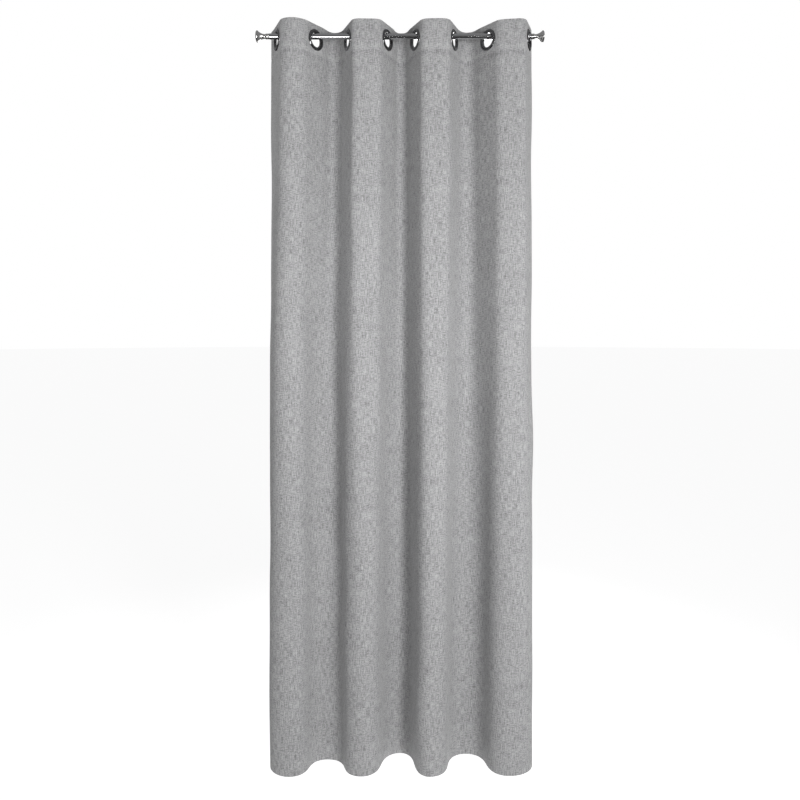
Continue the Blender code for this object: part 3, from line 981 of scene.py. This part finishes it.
def add_eyelet(number):
    """Both rings of one eyelet, turned about an axis at right angles to the cloth's heading there."""
    heading = headings[number]
    axis = (math.sin(heading), -math.cos(heading), 0.0)
    centre = (eyelet_x[number], 0.0, EYELET_Z)
    rings = [
        turned(f"ring_{side}_{number + 1}", profile, EYELET_FINISH, centre, axis, (0, 0, 1), True)
        for side, profile in (("front", front_ring_profile()), ("back", back_ring_profile()))
    ]
    for ring, side in zip(rings, ("front", "back")):
        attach(ring, f"strip_{number + 1}")
        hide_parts(f"eyelet_{side}_{number + 1}")
    return rings


rings = [add_eyelet(number) for number in range(EYELETS)]
print(len(rings), "eyelets of", sum(len(ring.data.polygons) for ring in rings[0]), "faces")

# %% [markdown]
# ## Rod and finials
#
# The rod is a thin tube, open at both ends with a plug in each. A finial is turned from one bar: a
# shallow domed tip, a rounded rim, a trumpet that narrows to a waist, and a collar of three beads as wide
# as the rod.

# %% Rod
TUBE_WALL = 0.001
TUBE_BEVEL = 0.0002
TUBE_RINGS = 40


def rod_profile():
    """The tube's wall, with a small bevel at its four edges."""
    inner = ROD_R - TUBE_WALL
    along = np.linspace(ROD_END - TUBE_BEVEL, -ROD_END + TUBE_BEVEL, TUBE_RINGS)
    outside = np.stack([np.full(TUBE_RINGS, ROD_R), along], 1)
    inside = np.stack([np.full(TUBE_RINGS, inner), along[::-1]], 1)
    left_end = [(ROD_R - TUBE_BEVEL, -ROD_END), (inner + TUBE_BEVEL, -ROD_END)]
    right_end = [(inner + TUBE_BEVEL, ROD_END), (ROD_R - TUBE_BEVEL, ROD_END)]
    return np.concatenate([outside, left_end, inside, right_end])


rod = turned("rod", rod_profile(), ROD_FINISH, (0, 0, 0), (1, 0, 0), (0, 0, 1), True)
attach(rod, "rod")
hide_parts("rod_tube")
print("rod of", round(2 * ROD_END, 4), "m")

# %% [markdown]
# ## A finial's profile
#
# A lathe cuts a finial along one line, and the same line is all that is needed here. It could be boxed up
# and smoothed, but a turned piece shows every bump in its reflections, so it is drawn with exact arcs and
# one power.

# %% Finials
finial_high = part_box("finial_right")[1]
FINIAL_LENGTH = finial_high.x - ROD_END
FINIAL_R = finial_high.z
WAIST_R = 0.0072
COLLAR = 0.013  # length of the three beads
BEADS = 3
DOME = 0.0028  # how high the tip rises over the rim
RIM_DOWN, FLARE_DOWN = 0.0053, 0.0080  # from the tip down to the rim's middle and to where the trumpet opens


def finial_profile():
    """From the tip down to the rod: dome, rim, trumpet and beads.

    The trumpet's radius grows with a power of the height, so it opens late. A bead is half an ellipse.
    """
    rim_r, rim_half = 0.0021, 0.0024
    dome = arc((0, FINIAL_LENGTH - DOME), (FINIAL_R * 0.93, DOME), 90, 14, 14)
    rim = arc((FINIAL_R - rim_r, FINIAL_LENGTH - RIM_DOWN), (rim_r, rim_half), 80, -80, 14)
    up = np.linspace(1, 0, 24)
    flare = np.stack([
        WAIST_R + (FINIAL_R - rim_r - WAIST_R) * up**2.2,
        COLLAR + (FINIAL_LENGTH - FLARE_DOWN - COLLAR) * up,
    ], 1)
    pitch = (COLLAR - 0.001) / BEADS
    bead_r = ROD_R - SEAT - WAIST_R
    beads = [
        arc((WAIST_R, 0.0007 + (bead + 0.5) * pitch), (bead_r, pitch * 0.47), 86, -86, 11)
        for bead in reversed(range(BEADS))
    ]
    return np.concatenate([dome, rim, flare, *beads, [(WAIST_R, SEAT), (0, SEAT)]])


for side, end in (("left", -1), ("right", 1)):
    foot = (end * ROD_END, 0, 0)
    knob = turned(f"knob_{side}", finial_profile(), FINIAL_FINISH, foot, (end, 0, 0), (0, 0, 1), False)
    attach(knob, f"{side}_finial")
    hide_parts(f"finial_{side}")
    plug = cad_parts[f"finial_plug_{side}"]
    plug.data.materials.clear()
    plug.data.materials.append(PLUG_FINISH)
print("finials of", len(knob.data.polygons), "faces,", round(FINIAL_LENGTH, 4), "m long")

# %% [markdown]
# ## The soft pieces and the frame
#
# Each fold, with its tape and stitches, keeps its place baked into its mesh and isn't attached to a strip;
# the frame's cloth, header, hem and tape of its strips are hidden. The frame has eight strips for seven
# folds, so the last fold stands for two of them. The side hems and their stitches lie beyond the outer
# eyelets, so they ride on one strip. A fold was cut to its width and to the drop with the turned header and
# hem.

# %% What follows what
for fold, (piece, tape, thread) in enumerate(zip(folds, tapes, stitches)):
    strips = [fold + 1] + ([EYELETS] if fold == EYELETS - 2 else [])
    for soft in (piece, tape, thread):
        follow_fold(soft)
    for strip in strips:
        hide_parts(f"cloth_{strip}", f"header_turning_{strip}", f"bottom_hem_{strip}")
        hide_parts(f"header_tape_{strip}")
for side, strip, hem, thread in zip(("left", "right"), (1, EYELETS), side_hems, side_stitches):
    for soft in (hem, thread):
        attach(soft, f"strip_{strip}")
    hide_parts(f"side_hem_{side}")
for fold, piece in enumerate(folds):
    columns = fold_columns(fold)
print("sheets declared:", len(folds) + len(side_hems))

# %% [markdown]
# ## Floor, sky and lamps
#
# A plain pale floor lies below the hem. A large soft light from the front and right lights one flank of
# every fold and leaves the other in soft shade, which the pale floor keeps open. A low strip gives the
# rod its highlight, and a lamp behind lights the back. The sky is pale above and dark below, because
# chrome only looks like chrome when it has something dark to reflect.

# %% Floor
FLOOR_Z = cloth_low.z - 0.12  # the hem hangs clear of the floor
FLOOR_R = 60.0
SPOKES = 64


def add_floor():
    """A wide round floor: a fan of places on circles that grow evenly."""
    reach = np.linspace(0.0, FLOOR_R, 24)[:, None]
    turn = np.arange(SPOKES) / SPOKES * 2 * np.pi
    x, y = reach * np.cos(turn), reach * np.sin(turn)
    places = np.stack([x, y, np.full_like(x, FLOOR_Z)], -1)
    glow = {"Emission_Color": (1, 1, 1, 1), "Emission_Strength": 0.9}
    finish = Finish("pale floor", Roughness=0.9, Base_Color=(0.6, 0.6, 0.6, 1), **glow)
    mesh = grid_mesh("floor", places[::-1], None, wrap=True)
    floor = add_piece("floor", mesh, finish.material)
    floor.visible_glossy = False
    return floor


floor = add_floor()
print("floor at", round(FLOOR_Z, 3), "m,", len(floor.data.polygons), "faces")

# %% Sky
def add_sky():
    """Pale above, grey at the level of the eye and dark below, and stronger in reflections than as light.

    Where the camera looks past the object, it's white.
    """
    world = bpy.data.worlds.new("studio")
    bpy.context.scene.world = world
    world.use_nodes = True
    network = Network(world.node_tree)
    white = network.tree.nodes["Background"]
    network.set(white, {"Color": (1, 1, 1, 1)})
    up = network.part(network.node("TexCoord", {}, {}, "Generated"), 2)
    height = network.node("MapRange", {}, {"Value": up, "From Min": -1.0})
    stops = [(0.35, (0.10, 0.10, 0.10, 1)), (0.75, (0.55, 0.55, 0.56, 1))]
    shade = network.node("ValToRGB", {"stops": stops}, {0: height})
    reflected = network.node("LightPath", {}, {}, "Is Glossy Ray")
    strength = network.node("MapRange", {}, {"Value": reflected, "To Min": 0.15, "To Max": 0.42})
    sky = network.node("Background", {}, {"Color": shade, "Strength": strength})
    seen = network.node("LightPath", {}, {}, "Is Camera Ray")
    both = network.node("MixShader", {}, {0: seen, 1: sky, 2: Wire(network, white.outputs[0])})
    network.set(network.tree.nodes["World Output"], {"Surface": both})
    return world


sky = add_sky()
print("sky with", len(sky.node_tree.nodes), "nodes")

# %% Lamps
def add_lamp(name, place, target, size, power, spread):
    """An oblong soft light that looks at a point; a spread under 180 degrees keeps its beam together."""
    lamp = bpy.data.lights.new(name, "AREA")
    lamp.shape = "RECTANGLE"
    lamp.size, lamp.size_y = size
    lamp.energy = power
    lamp.spread = math.radians(spread)
    holder = bpy.data.objects.new(name, lamp)
    bpy.context.scene.collection.objects.link(holder)
    holder.location = place
    holder.rotation_euler = (Vector(target) - Vector(place)).to_track_quat("-Z", "Y").to_euler()
    return holder


HEART = (0, 0, -1.1)  # a little above the cloth's middle
lamps = [
    add_lamp("key", (1.5, -3.0, -1.1), HEART, (0.8, 1.2), 30.5, 100.0),
    add_lamp("back", (0.5, 3.4, -0.8), HEART, (0.8, 1.2), 16.0, 100.0),
    add_lamp("left strip", (-0.7, -2.3, -1.7), (-0.27, 0, 0), (0.9, 0.6), 2.0, 60.0),
]
print("lamps:", [lamp.name for lamp in lamps])

# %% [markdown]
# ## Camera
#
# The camera looks level, from a little above the middle of the drop, and is shifted down to take in the
# hem. A shifted camera keeps upright edges upright, where a tilted one would make them lean.

# %% Camera
bpy.context.scene.view_settings.view_transform = "Standard"
DISTANCE = 2.35  # from the rod's plane
VIEW = 2.635  # how wide the view is in that plane
SENSOR = 36.0
camera_data = bpy.data.cameras.new("camera")
camera_data.sensor_width = SENSOR
camera_data.lens = SENSOR * DISTANCE / VIEW
camera_data.shift_y = -0.0893
camera = bpy.data.objects.new("camera", camera_data)
bpy.context.scene.collection.objects.link(camera)
camera.location = (0.0, -DISTANCE, -0.962)
camera.rotation_euler = (math.pi / 2, 0, 0)
bpy.context.scene.camera = camera
print("camera with a lens of", round(camera_data.lens, 1), "mm")
